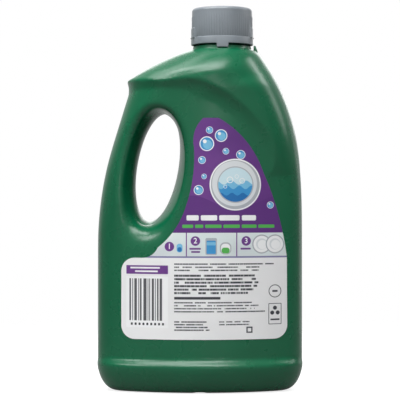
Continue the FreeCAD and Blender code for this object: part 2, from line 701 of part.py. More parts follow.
def label_outline():
    """Label seen from the front: wide foot, then a sail between hand hole and swoosh."""
    foot, waist = size("label_foot"), size("label_waist")
    left, right = -size("label_left"), size("label_right")
    corner = size("label_corner")
    soft = corner * (1 - math.sqrt(0.5))
    top = size("shoulder_top") - size("label_top_drop")
    elbow_z = size("shoulder_top") - size("label_elbow_drop")
    low_reach = size("label_swoosh_radius") - size("label_swoosh_low")
    low_angle = math.asin((elbow_z - CREASE_Z) / low_reach)
    top_angle = math.asin((top - CREASE_Z) / (size("label_swoosh_radius") - size("label_swoosh")))
    elbow = swoosh_rim(size("label_swoosh_low"), low_angle)
    crown = swoosh_rim(size("label_swoosh"), top_angle)
    half_in = (size("label_swoosh") + size("label_swoosh_low")) / 2
    half_way = swoosh_rim(half_in, (low_angle + top_angle) / 2)
    head, tail = mouth_rim(1.1), mouth_rim(2.7)
    peak = (head[0] + size("label_head"), top)
    bend = (head[0] + size("label_head") * 0.24, head[1] + (top - head[1]) * 0.66)
    landing = (tail[0] - size("label_tail"), waist)
    ease = (tail[0] - size("label_tail") * 0.45, waist + (tail[1] - waist) * 0.24)
    knee = (right - 0.3, waist)
    bow = ((knee[0] + elbow[0]) / 2 + size("label_bow"), (waist + elbow_z) / 2)
    edges = [
        line((left + corner, foot), (right - corner, foot)),
        arc((right - corner, foot), (right - soft, foot + soft), (right, foot + corner)),
        line((right, foot + corner), knee),
        arc(knee, bow, elbow),
        arc(elbow, half_way, crown),
        line(crown, peak),
        arc(peak, bend, head),
        arc(head, mouth_rim(1.5), mouth_rim(1.9)),
        arc(mouth_rim(1.9), mouth_rim(2.3), tail),
        arc(tail, ease, landing),
        line(landing, (left + corner, waist)),
        arc((left + corner, waist), (left + soft, waist - soft), (left, waist - corner)),
        line((left, waist - corner), (left, foot + corner)),
        arc((left, foot + corner), (left + soft, foot + soft), (left + corner, foot)),
    ]
    return Part.Wire(edges)


def panel_cylinder(name, extra):
    """The label panel's cylinder, a little larger."""
    obj = cylinder(name, "{panel_radius} + " + extra, "{shoulder_top}", "0", "0")
    bind(obj, ".Placement.Base.y", "{panel_radius} + {panel_recess} - {body_half_depth}")
    return obj


cookie = Part.Face(label_outline()).extrude(V(0, -size("body_half_depth") - 10, 0))
film = cut(
    "label_film",
    panel_cylinder("film_outside", "{label_gap} + {label_thickness}"),
    panel_cylinder("film_inside", "{label_gap}"),
)
label = join("Common", "back_label", [solid("label_cutter", cookie), film])

# ---------------------------------------------------------------- gel


def gel_column():
    """The filling up to its surface, clear of the walls, without the hand hole."""
    inset = size("wall") + size("gel_gap")
    foot = size("gel_foot")
    top = size("shoulder_top") - size("fill_drop")
    reach = size("heel_reach")
    stack = [
        band_oval(foot, inset + reach * 0.95),
        band_oval(foot + 5, inset + reach * 0.4),
        body_oval(size("heel_rise"), inset),
    ]
    base = Part.makeLoft(stack, True, True)
    column = Part.Face(body_oval(size("heel_rise"), inset)).extrude(V(0, 0, STRAIGHT_TOP - size("heel_rise")))
    upper = Part.makeLoft([body_oval(z, inset) for z in levels(STRAIGHT_TOP, top, 4)], True)
    return base, column, upper


gel_parts = [solid("gel_%d" % (k + 1), shape) for k, shape in enumerate(gel_column())]
gel_block = join("Fuse", "gel_block", gel_parts)
gel = cut("gel", gel_block, hand_hole("gel_hand_hole", "{wall} + {gel_gap}", "{lip_wall}"))
doc.recompute()

# ---------------------------------------------------------------- checks and files

PIECES = {
    "bottle": bottle,
    "cap": cap,
    "cap_liner": liner,
    "pour_spout": spout,
    "back_label": label,
    "gel": gel,
}
for name, piece in PIECES.items():
    piece.Label = name

if not skirt_volume < pads_volume < tabs.Shape.Volume:
    raise RuntimeError("the squeeze pads or tabs added nothing")
for obj in doc.Objects:
    if "Invalid" in obj.State or "Error" in obj.State:
        raise RuntimeError("%s failed to build" % obj.Label)
for name, piece in PIECES.items():
    shape = piece.Shape
    if shape.isNull() or not shape.isValid() or len(shape.Solids) != 1:
        raise RuntimeError("%s is not one good solid" % name)

os.makedirs("parts", exist_ok=True)
for name, piece in PIECES.items():
    piece.Shape.exportStep("parts/%s.step" % name)
    print("%-12s %9.2f cm3" % (name, piece.Shape.Volume / 1000))
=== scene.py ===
import json
import math

import bpy
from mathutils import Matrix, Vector

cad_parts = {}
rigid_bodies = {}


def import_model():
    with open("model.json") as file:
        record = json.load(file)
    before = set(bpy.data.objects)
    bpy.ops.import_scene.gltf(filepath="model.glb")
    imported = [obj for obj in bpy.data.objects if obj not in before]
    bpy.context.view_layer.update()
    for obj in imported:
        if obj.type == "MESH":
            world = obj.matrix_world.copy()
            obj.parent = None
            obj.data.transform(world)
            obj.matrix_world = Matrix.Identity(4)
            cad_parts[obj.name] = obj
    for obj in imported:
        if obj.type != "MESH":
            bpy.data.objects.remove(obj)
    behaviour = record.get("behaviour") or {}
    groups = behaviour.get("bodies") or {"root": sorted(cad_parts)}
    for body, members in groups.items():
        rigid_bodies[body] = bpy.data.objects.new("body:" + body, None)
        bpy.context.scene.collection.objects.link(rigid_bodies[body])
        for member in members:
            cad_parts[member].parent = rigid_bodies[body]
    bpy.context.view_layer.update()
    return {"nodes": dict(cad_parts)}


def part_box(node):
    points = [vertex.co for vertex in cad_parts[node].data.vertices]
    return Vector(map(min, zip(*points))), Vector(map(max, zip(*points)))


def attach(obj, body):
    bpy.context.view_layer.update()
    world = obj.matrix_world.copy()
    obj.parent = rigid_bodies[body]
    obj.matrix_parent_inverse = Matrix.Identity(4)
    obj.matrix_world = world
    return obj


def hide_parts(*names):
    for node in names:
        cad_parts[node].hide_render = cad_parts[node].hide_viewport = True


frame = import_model()

mm = 0.001  # all sizes below are in millimetres times this
weld = 0.002 * mm  # points of a CAD mesh closer than this are one point


# small helpers for working as by hand

def pick(*objs):  # these objects only, the first one active
    if bpy.context.object and bpy.context.object.mode != "OBJECT":
        bpy.ops.object.mode_set(mode="OBJECT")
    bpy.ops.object.select_all(action="DESELECT")
    for obj in objs:
        obj.select_set(True)
    bpy.context.view_layer.objects.active = objs[0]


def openMesh(obj, everything=False):  # into edit mode with nothing, or all, selected
    pick(obj)
    bpy.ops.object.mode_set(mode="EDIT")
    bpy.ops.mesh.select_mode(type="VERT")
    bpy.ops.mesh.select_all(action="SELECT" if everything else "DESELECT")


def closeMesh():
    bpy.ops.object.mode_set(mode="OBJECT")


def chooseVerts(obj, test):  # object mode in, edit mode out, with the points that pass selected
    openMesh(obj)
    closeMesh()
    for vert in obj.data.vertices:
        vert.select = test(vert.co)
    bpy.ops.object.mode_set(mode="EDIT")


def mendNormals(obj):
    openMesh(obj, True)
    bpy.ops.mesh.remove_doubles(threshold=5 * weld)
    bpy.ops.mesh.normals_make_consistent(inside=False)
    closeMesh()


def applyAll(obj):
    pick(obj)
    for modifier in list(obj.modifiers):
        bpy.ops.object.modifier_apply(modifier=modifier.name)


def settle(obj):  # place, turn and size go into the mesh
    pick(obj)
    bpy.ops.object.transform_apply(location=True, rotation=True, scale=True)


def soften(obj, angle=35):
    pick(obj)
    bpy.ops.object.shade_smooth_by_angle(angle=math.radians(angle))


def dress(obj, material):
    obj.data.materials.clear()
    obj.data.materials.append(material)


def copyOfNode(nodeName, newName):
    source = frame["nodes"][nodeName]
    obj = source.copy()
    obj.data = source.data.copy()
    obj.name = obj.data.name = newName
    bpy.context.collection.objects.link(obj)
    openMesh(obj, True)
    bpy.ops.mesh.remove_doubles(threshold=weld)
    closeMesh()
    return obj


def lathe(name, centre, segments, path):  # a ring drawn up along (radius, height) steps
    firstRadius, firstHeight = path[0]
    bpy.ops.mesh.primitive_circle_add(
        vertices=segments, radius=firstRadius, location=(centre[0], centre[1], firstHeight))
    obj = bpy.context.object
    obj.name = obj.data.name = name
    settle(obj)
    openMesh(obj, True)
    lastRadius, lastHeight = firstRadius, firstHeight
    for radius, height in path[1:]:
        bpy.ops.mesh.extrude_region_move(
            TRANSFORM_OT_translate={"value": (0, 0, height - lastHeight)})
        grow = radius / lastRadius
        bpy.ops.transform.resize(
            value=(grow, grow, 1), center_override=(centre[0], centre[1], height))
        lastRadius, lastHeight = radius, height
    closeMesh()
    return obj


# material building

def newMaterial(name):
    material = bpy.data.materials.new(name)
    material.use_nodes = True
    tree = material.node_tree
    shader = tree.nodes["Principled BSDF"]
    return material, tree, shader


def wire(tree, output, socket):
    tree.links.new(output, socket)


def calc(tree, operation, a, b=None, clamp=False):  # one Math node; a and b are numbers or outputs
    node = tree.nodes.new("ShaderNodeMath")
    node.operation = operation
    node.use_clamp = clamp
    for index, value in enumerate((a, b)):
        if value is None:
            continue
        if isinstance(value, (int, float)):
            node.inputs[index].default_value = value
        else:
            wire(tree, value, node.inputs[index])
    return node.outputs[0]


def scaled(tree, value, factor, plus):  # value times factor, plus a number
    node = calc(tree, "MULTIPLY_ADD", value, factor).node
    node.inputs[2].default_value = plus
    return node.outputs[0]


def ramp(tree, value, low, high):  # 0 below low, 1 above high, eased between
    node = tree.nodes.new("ShaderNodeMapRange")
    node.interpolation_type = "SMOOTHSTEP"
    node.inputs["From Min"].default_value = low
    node.inputs["From Max"].default_value = high
    wire(tree, value, node.inputs["Value"])
    return node.outputs["Result"]


def colourOf(red, green, blue):  # 0 to 255 as seen on screen, to the linear values a shader takes
    linear = []
    for part in (red, green, blue):
        part = part / 255
        linear.append(part / 12.92 if part <= 0.04045 else ((part + 0.055) / 1.055) ** 2.4)
    return (*linear, 1)


def blend(tree, mask, under, over):  # under where mask is 0, over where it is 1
    node = tree.nodes.new("ShaderNodeMix")
    node.data_type = "RGBA"
    wire(tree, mask, node.inputs[0])
    for socket, value in ((node.inputs[6], under), (node.inputs[7], over)):
        if isinstance(value, tuple):
            socket.default_value = value
        else:
            wire(tree, value, socket)
    return node.outputs[2]


def noise(tree, coords, scale, detail=2.0, rough=0.5):
    node = tree.nodes.new("ShaderNodeTexNoise")
    node.inputs["Scale"].default_value = scale
    node.inputs["Detail"].default_value = detail
    node.inputs["Roughness"].default_value = rough
    wire(tree, coords, node.inputs["Vector"])
    return node.outputs["Fac"]


def bump(tree, shader, height, distance, strength=1.0, under=None):
    node = tree.nodes.new("ShaderNodeBump")
    node.inputs["Distance"].default_value = distance
    node.inputs["Strength"].default_value = strength
    wire(tree, height, node.inputs["Height"])
    if under is not None:
        wire(tree, under, node.inputs["Normal"])
    if shader is not None:
        wire(tree, node.outputs["Normal"], shader.inputs["Normal"])
    return node.outputs["Normal"]


def objectCoords(tree):
    return tree.nodes.new("ShaderNodeTexCoord").outputs["Object"]


def axesOf(tree, coords):
    node = tree.nodes.new("ShaderNodeSeparateXYZ")
    wire(tree, coords, node.inputs[0])
    return node.outputs["X"], node.outputs["Y"], node.outputs["Z"]


# bottle plastic

bottlePlastic = {
    "colour": (4, 94, 61), "shade": (3, 90, 58), "cloudScale": 22, "cloud": (0.35, 0.7),
    "roughness": 0.28, "uneven": 0.10, "unevenScale": 60, "shine": 0.40,
    "peel": 0.04 * mm, "peelScale": 260, "peelStrength": 0.5,
    "parting": 0.10 * mm, "partingWidth": 0.5 * mm, "partingStrength": 0.6,
}


def makeBottlePlastic():
    s = bottlePlastic
    material, tree, shader = newMaterial("bottlePlastic")
    coords = objectCoords(tree)
    cloud = ramp(tree, noise(tree, coords, s["cloudScale"], 3), *s["cloud"])
    wire(tree, blend(tree, cloud, colourOf(*s["colour"]), colourOf(*s["shade"])),
         shader.inputs["Base Color"])
    gloss = scaled(tree, noise(tree, coords, s["unevenScale"], 3), s["uneven"],
                   s["roughness"] - s["uneven"] / 2)
    wire(tree, gloss, shader.inputs["Roughness"])
    peel = noise(tree, coords, s["peelScale"], 2)
    fine = bump(tree, None, peel, s["peel"], s["peelStrength"])
    side = calc(tree, "ABSOLUTE", axesOf(tree, coords)[1])
    seam = ramp(tree, side, s["partingWidth"], 0.0)  # the line where the mould halves met
    bump(tree, shader, seam, s["parting"], s["partingStrength"], fine)
    shader.inputs["Specular IOR Level"].default_value = s["shine"]
    return material


# bottle skin: the blown body, remeshed evenly so that its swells shade smoothly

bottleSkin = {
    "neckHeight": 28.3 * mm, "neckCut": 0.2 * mm,
    "voxel": 1.2 * mm, "smoothTurns": 3, "pull": 0.5, "smoothAngle": 60,
    "dish": (-42 * mm, -27 * mm, 116 * mm), "dishDepth": -14 * mm,
    "dishPasses": ((29 * mm, 20), (25 * mm, 40), (21 * mm, 60), (17 * mm, 60)),  # reach, turns
    "ledge": (20 * mm, 28.5 * mm), "ledgeSink": 1.2 * mm,
    "ledgeMargins": (6 * mm, 5 * mm, 4 * mm, 3 * mm, 2 * mm, 1 * mm, 0),
}

capLow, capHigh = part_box("cap")
neckX = (capLow[0] + capHigh[0]) / 2
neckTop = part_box("bottle")[1][2]
shoulderTop = neckTop - bottleSkin["neckHeight"]


def outerShell(name):  # the bottle's outer surface below the neck, closed at the cut
    obj = copyOfNode("bottle", name)
    openMesh(obj, True)
    bpy.ops.mesh.bisect(
        plane_co=(0, 0, shoulderTop + bottleSkin["neckCut"]), plane_no=(0, 0, 1), clear_outer=True)
    bpy.ops.mesh.select_all(action="DESELECT")
    bpy.ops.mesh.separate(type="LOOSE")
    closeMesh()
    shells = [o for o in bpy.data.objects if o.name.startswith(name)]
    shells.sort(key=lambda o: max(v.co.x for v in o.data.vertices))
    obj = shells.pop()  # the outer shell is the wider one
    for spare in shells:
        bpy.data.objects.remove(spare)
    obj.name = obj.data.name = name
    openMesh(obj, True)
    bpy.ops.mesh.fill_holes(sides=0)
    closeMesh()
    return obj


def makeBottleSkin(plastic):
    s = bottleSkin
    obj = outerShell("bottle_skin")
    remesh = obj.modifiers.new("even", "REMESH")
    remesh.mode = "VOXEL"
    remesh.voxel_size = s["voxel"]
    remesh.use_smooth_shade = True
    smooth = obj.modifiers.new("smooth", "SMOOTH")
    smooth.iterations = s["smoothTurns"]
    smooth.factor = s["pull"]
    applyAll(obj)
    middle = Vector(s["dish"])
    for reach, turns in s["dishPasses"]:  # the scoop under the grip rolls into the panel
        chooseVerts(obj, lambda co: co.y < s["dishDepth"] and (co - middle).length < reach)
        bpy.ops.mesh.vertices_smooth(factor=s["pull"], repeat=turns)
        closeMesh()
    low, high = s["ledge"]
    for margin in s["ledgeMargins"]:  # the ledge sinks a little, its neighbours less and less
        chooseVerts(obj, lambda co: low - margin < co.z < high + margin)
        bpy.ops.transform.translate(value=(0, 0, -s["ledgeSink"] / len(s["ledgeMargins"])))
        closeMesh()
    soften(obj, s["smoothAngle"])
    dress(obj, plastic)
    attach(obj, "bottle")
    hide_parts("bottle")
    print("bottle skin", len(obj.data.polygons), "faces")


# neck: collar, bead, lip and bore, with the thread wound on it

neckFinish = {
    "segments": 128, "foot": -2.0 * mm, "bore": 15.3 * mm, "outside": 17.55 * mm,
    "lipIn": 0.4 * mm, "lipOut": 0.6 * mm,
    "collar": 22.0 * mm, "collarTop": 3.3 * mm, "collarFoot": 1.4 * mm, "collarEdge": 0.5 * mm,
    "fillet": (0.35 * mm, 0.6 * mm), "flare": 23.7 * mm, "flareTop": 0.15 * mm,
    "bead": 19.3 * mm, "beadLow": 7.2 * mm, "beadHigh": 8.6 * mm, "beadSlope": 0.9 * mm,
    "edge": 0.25 * mm, "edgeSteps": 2, "edgeAngle": 35,
    "threadFoot": 12.5 * mm, "threadTurns": 2.2, "lead": 6.0 * mm, "threadDepth": 1.0 * mm,
    "threadHalf": 1.1 * mm, "threadSink": 1.1, "threadMiddle": 0.45, "crestWidth": 0.5,
    "threadSteps": 72, "threadAngle": 40,
}


def windThread(name, radius, depth, foot, turns):  # a right-handed thread as one closed bar
    s = neckFinish
    centre = (neckX, 0, foot)
    bpy.ops.mesh.primitive_plane_add(size=1, location=centre)
    obj = bpy.context.object
    obj.name = obj.data.name = name
    openMesh(obj, True)
    bpy.ops.transform.rotate(value=math.radians(90), orient_axis="X", center_override=centre)
    bpy.ops.transform.resize(
        value=(abs(depth) * s["threadSink"], 1, 2 * s["threadHalf"]), center_override=centre)
    bpy.ops.transform.translate(value=(radius + depth * s["threadMiddle"], 0, 0))
    closeMesh()
    crest = neckX + radius + depth * s["threadMiddle"]
    away = 1 if depth > 0 else -1  # a cap's thread points inwards
    chooseVerts(obj, lambda co: away * (obj.matrix_world @ co).x > away * crest)
    bpy.ops.transform.resize(value=(1, 1, s["crestWidth"]), center_override=centre)
    closeMesh()
    screw = obj.modifiers.new("wind", "SCREW")
    screw.axis = "Z"
    screw.angle = math.radians(360 * turns)
    screw.screw_offset = s["lead"] * turns
    screw.steps = screw.render_steps = int(s["threadSteps"] * turns)
    applyAll(obj)
    openMesh(obj, True)
    bpy.ops.mesh.fill_holes(sides=0)
    closeMesh()
    mendNormals(obj)
    settle(obj)
    soften(obj, s["threadAngle"])
    return obj


def makeNeckFinish(plastic):
    s = neckFinish
    lip = neckTop - shoulderTop
    steps = [
        (s["bore"], s["foot"]), (s["bore"], lip - s["lipIn"]), (s["bore"] + s["lipIn"], lip),
        (s["outside"] - s["lipOut"], lip), (s["outside"], lip - s["lipOut"]),
        (s["outside"], s["beadHigh"] + s["beadSlope"]), (s["bead"], s["beadHigh"]),
        (s["bead"], s["beadLow"]), (s["outside"], s["beadLow"] - s["beadSlope"]),
        (s["outside"], s["collarTop"]), (s["collar"] - s["collarEdge"], s["collarTop"]),
        (s["collar"], s["collarTop"] - s["collarEdge"]), (s["collar"], s["collarFoot"]),
        (s["collar"] + s["fillet"][0], s["fillet"][1]), (s["flare"], s["flareTop"]),
        (s["flare"], s["foot"]), (s["bore"], s["foot"]),
    ]
    obj = lathe("neck_finish", (neckX, 0), s["segments"],
                [(radius, shoulderTop + height) for radius, height in steps])
    mendNormals(obj)
    bevel = obj.modifiers.new("edges", "BEVEL")
    bevel.width = s["edge"]
    bevel.segments = s["edgeSteps"]
    bevel.limit_method = "ANGLE"
    bevel.angle_limit = math.radians(s["edgeAngle"])
    applyAll(obj)
    soften(obj, s["edgeAngle"])
    thread = windThread("neck_thread", s["outside"], s["threadDepth"],
                        shoulderTop + s["threadFoot"], s["threadTurns"])
    for piece in (obj, thread):
        dress(piece, plastic)
        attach(piece, "bottle")
    print("neck and thread", len(obj.data.polygons) + len(thread.data.polygons), "faces")


# lock post: the stop beside the cap's foot

lockPost = {
    "inner": 23.7 * mm, "thickness": 1.5 * mm, "width": 6.0 * mm, "height": 4.0 * mm,
    "buried": 3.0 * mm, "ramp": 1.3 * mm, "buttress": 2.4 * mm,
    "edge": 0.4 * mm, "edgeSteps": 3,
}


def makeLockPost(plastic):
    s = lockPost
    middle = (neckX + s["inner"] + s["thickness"] / 2, 0,
              shoulderTop + (s["height"] - s["buried"]) / 2)
    bpy.ops.mesh.primitive_cube_add(size=1, location=middle)
    obj = bpy.context.object
    obj.name = obj.data.name = "lock_post"
    obj.scale = (s["thickness"], s["width"], s["height"] + s["buried"])
    settle(obj)
    chooseVerts(obj, lambda co: co.z > shoulderTop and co.y < 0)  # one flank slopes, to ride over
    bpy.ops.transform.translate(value=(0, s["ramp"], 0))
    closeMesh()
    chooseVerts(obj, lambda co: co.z < shoulderTop and co.x > middle[0])  # braced on its outer side
    bpy.ops.transform.translate(value=(s["buttress"], 0, 0))
    closeMesh()
    bevel = obj.modifiers.new("edges", "BEVEL")
    bevel.width = s["edge"]
    bevel.segments = s["edgeSteps"]
    applyAll(obj)
    soften(obj)
    dress(obj, plastic)
    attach(obj, "bottle")
    print("lock post", len(obj.data.polygons), "faces")


# cap plastic and cap

capPlastic = {
    "colour": (122, 129, 135), "shade": (114, 121, 127), "flowScale": 35, "flow": (0.3, 0.75),
    "flowRough": 0.6,
    "roughness": 0.38, "uneven": 0.07, "unevenScale": 90,
    "grain": 0.04 * mm, "grainScale": 900, "grainStrength": 0.6, "IOR": 1.49,
}


def makeCapPlastic():
    s = capPlastic
    material, tree, shader = newMaterial("capPlastic")
    coords = objectCoords(tree)
    flow = ramp(tree, noise(tree, coords, s["flowScale"], 4, s["flowRough"]), *s["flow"])
    wire(tree, blend(tree, flow, colourOf(*s["colour"]), colourOf(*s["shade"])),
         shader.inputs["Base Color"])
    gloss = scaled(tree, noise(tree, coords, s["unevenScale"], 2), s["uneven"],
                   s["roughness"] - s["uneven"] / 2)
    wire(tree, gloss, shader.inputs["Roughness"])
    bump(tree, shader, noise(tree, coords, s["grainScale"], 3), s["grain"], s["grainStrength"])
    shader.inputs["IOR"].default_value = s["IOR"]
    return material


capShell = {
    "segments": 288, "smoothAngle": 32, "step": 0.7 * mm, "hair": 0.1 * mm,
    "plate": 1.6 * mm, "topEdge": 2.6 * mm, "topEdgeTurn": 15, "middle": 0.4 * mm,
    "gate": 1.4 * mm, "gateSink": 0.2 * mm,
    "collarOut": 19.8 * mm, "collarIn": 18.8 * mm, "collarDeep": 16.6 * mm,
    "wallIn": 21.7 * mm, "skirtIn": 22.35 * mm, "rimIn": 0.25 * mm, "rimOut": 0.3 * mm,
    "bandTop": 5.2 * mm, "bandRound": (0.15 * mm, 0.35 * mm), "bandFoot": 0.25 * mm,
    "ribs": 72, "ribDepth": 0.24 * mm, "ribFoot": 6.5 * mm, "ribTop": 20.8 * mm,
    "ribRise": 0.5 * mm, "ribFall": 0.8 * mm,
    "tabDrop": 3.0 * mm, "tabHalf": 4.1 * mm, "tabRoot": 0.35 * mm,
    "padTop": 12.7 * mm, "padUnder": 0.4 * mm, "padOver": 0.3 * mm, "padHalf": 9.5 * mm,
    "padFade": ((9.9 * mm, 0.8), (10.4 * mm, 0.5), (10.9 * mm, 0.22), (11.4 * mm, 0.06)),
    "threadTurns": 2.0, "threadRise": 3.65 * mm,
}


def capOutline(s, foot, top, skirt):  # inside, round the foot, up the outside and over the top
    shell = skirt - s["step"]
    under = top - s["plate"]
    lowered = top - s["gateSink"]
    steps = [
        (s["middle"], under), (s["collarIn"], under), (s["collarIn"], top - s["collarDeep"]),
        (s["collarOut"], top - s["collarDeep"]), (s["collarOut"], under), (s["wallIn"], under),
        (s["wallIn"], foot + s["bandTop"]),
        (s["skirtIn"], foot + s["bandTop"] - (s["skirtIn"] - s["wallIn"])),
        (s["skirtIn"], foot + s["rimIn"]), (s["skirtIn"] + s["rimIn"], foot),
        (skirt - s["rimOut"], foot), (skirt, foot + s["rimOut"]),
        (skirt, foot + s["bandTop"] - s["bandRound"][1]),
        (skirt - s["bandRound"][0], foot + s["bandTop"]),
        (shell, foot + s["bandTop"] + s["bandFoot"]),
        (shell, foot + s["ribFoot"] - s["ribRise"]), (shell, foot + s["ribFoot"]),
        (shell, foot + s["padTop"] - s["padUnder"]), (shell, foot + s["padTop"] + s["padOver"]),
        (shell, foot + s["ribTop"]), (shell, foot + s["ribTop"] + s["ribFall"]),
    ]
    for turn in range(0, 91, s["topEdgeTurn"]):  # the rounded top edge
        lean = math.radians(turn)
        steps.append((shell - s["topEdge"] * (1 - math.cos(lean)),
                      top - s["topEdge"] * (1 - math.sin(lean))))
    return steps + [(s["gate"], top), (s["gate"] - s["gateSink"], lowered), (s["middle"], lowered)]


def makeCapShell(plastic):
    s = capShell
    foot, top = capLow[2] + s["tabDrop"], capHigh[2]
    skirt = (capHigh[0] - capLow[0]) / 2
    shell = skirt - s["step"]
    obj = lathe("cap_shell", (neckX, 0), s["segments"], capOutline(s, foot, top, skirt))
    openMesh(obj, True)
    bpy.ops.mesh.fill_holes(sides=0)
    closeMesh()
    mendNormals(obj)

    axis = (neckX, 0, foot)
    bandTop, padTop = foot + s["bandTop"], foot + s["padTop"]
    ribFoot, ribTop = foot + s["ribFoot"] - s["hair"], foot + s["ribTop"] + s["hair"]
    padReach = s["padFade"][-1][0]
    columns = s["segments"] // s["ribs"]

    def onOutside(co):
        return math.hypot(co.x - neckX, co.y) > shell - s["hair"] / 2

    def onRib(co):
        turn = math.atan2(co.y, co.x - neckX) / (2 * math.pi) * s["segments"]
        return round(turn) % columns < columns / 2 and ribFoot < co.z < ribTop

    def widen(share):
        bpy.ops.transform.resize(value=(share, share, 1), center_override=axis)
        closeMesh()

    inner = 0
    for reach, share in ((s["padHalf"], 1), *s["padFade"]):  # the pad, then its sides falling away
        chooseVerts(obj, lambda co: onOutside(co) and inner <= abs(co.y) < reach
                    and bandTop - s["hair"] < co.z < padTop)
        widen(1 + (skirt / shell - 1) * share)
        inner = reach
    chooseVerts(obj, lambda co: onOutside(co) and onRib(co)
                and (abs(co.y) >= padReach or co.z >= padTop))
    widen(1 + s["ribDepth"] / shell)
    chooseVerts(obj, lambda co: co.z < foot + s["tabRoot"] and abs(co.x - neckX) < s["tabHalf"])
    bpy.ops.transform.translate(value=(0, 0, -s["tabDrop"]))
    closeMesh()
    soften(obj, s["smoothAngle"])
    thread = windThread("cap_thread", s["collarIn"], -neckFinish["threadDepth"],
                        shoulderTop + neckFinish["threadFoot"] + s["threadRise"], s["threadTurns"])
    for piece in (obj, thread):
        dress(piece, plastic)
        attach(piece, "cap")
    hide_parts("cap")
    print("cap shell", len(obj.data.polygons) + len(thread.data.polygons), "faces")


# foam liner, pour spout and gel keep their own solids, with better materials

linerFoam = {
    "colour": (238, 238, 234), "shade": (224, 224, 219), "cellScale": 1500,
    "pit": 0.08 * mm, "pitStrength": 0.6, "roughness": 0.85,
}


def makeFoam():
    s = linerFoam
    material, tree, shader = newMaterial("linerFoam")
    coords = objectCoords(tree)
    cells = tree.nodes.new("ShaderNodeTexVoronoi")
    cells.inputs["Scale"].default_value = s["cellScale"]
    wire(tree, coords, cells.inputs["Vector"])
    cell = cells.outputs["Distance"]
    wire(tree, blend(tree, cell, colourOf(*s["shade"]), colourOf(*s["colour"])),
         shader.inputs["Base Color"])
    bump(tree, shader, cell, s["pit"], s["pitStrength"])
    shader.inputs["Roughness"].default_value = s["roughness"]
    return material


spoutNatural = {
    "colour": (233, 235, 230), "shade": (222, 226, 220), "flowScale": 40, "flow": (0.3, 0.7),
    "grain": 0.03 * mm, "grainScale": 700, "grainStrength": 0.5, "roughness": 0.38,
    "through": 0.25, "throughReach": 2 * mm,
}


def makeNatural():
    s = spoutNatural
    material, tree, shader = newMaterial("spoutNatural")
    coords = objectCoords(tree)
    flow = ramp(tree, noise(tree, coords, s["flowScale"], 3), *s["flow"])
    wire(tree, blend(tree, flow, colourOf(*s["colour"]), colourOf(*s["shade"])),
         shader.inputs["Base Color"])
    bump(tree, shader, noise(tree, coords, s["grainScale"], 2), s["grain"], s["grainStrength"])
    shader.inputs["Roughness"].default_value = s["roughness"]
    shader.inputs["Subsurface Weight"].default_value = s["through"]
    shader.inputs["Subsurface Radius"].default_value = (s["throughReach"],) * 3
    return material


gelBlue = {
    "colour": (28, 104, 168), "shade": (22, 88, 150), "streakScale": 30, "streak": (0.3, 0.8),
    "swell": 0.3 * mm, "swellScale": 55, "swellStrength": 0.3, "roughness": 0.08, "IOR": 1.36,
}


def makeGel():
    s = gelBlue
    material, tree, shader = newMaterial("gelBlue")
    coords = objectCoords(tree)
    streak = ramp(tree, noise(tree, coords, s["streakScale"], 4), *s["streak"])
    wire(tree, blend(tree, streak, colourOf(*s["colour"]), colourOf(*s["shade"])),
         shader.inputs["Base Color"])
    bump(tree, shader, noise(tree, coords, s["swellScale"], 2), s["swell"], s["swellStrength"])
    shader.inputs["Roughness"].default_value = s["roughness"]
    shader.inputs["IOR"].default_value = s["IOR"]
    return material


# label: fields of colour and simple shapes, printed on the film

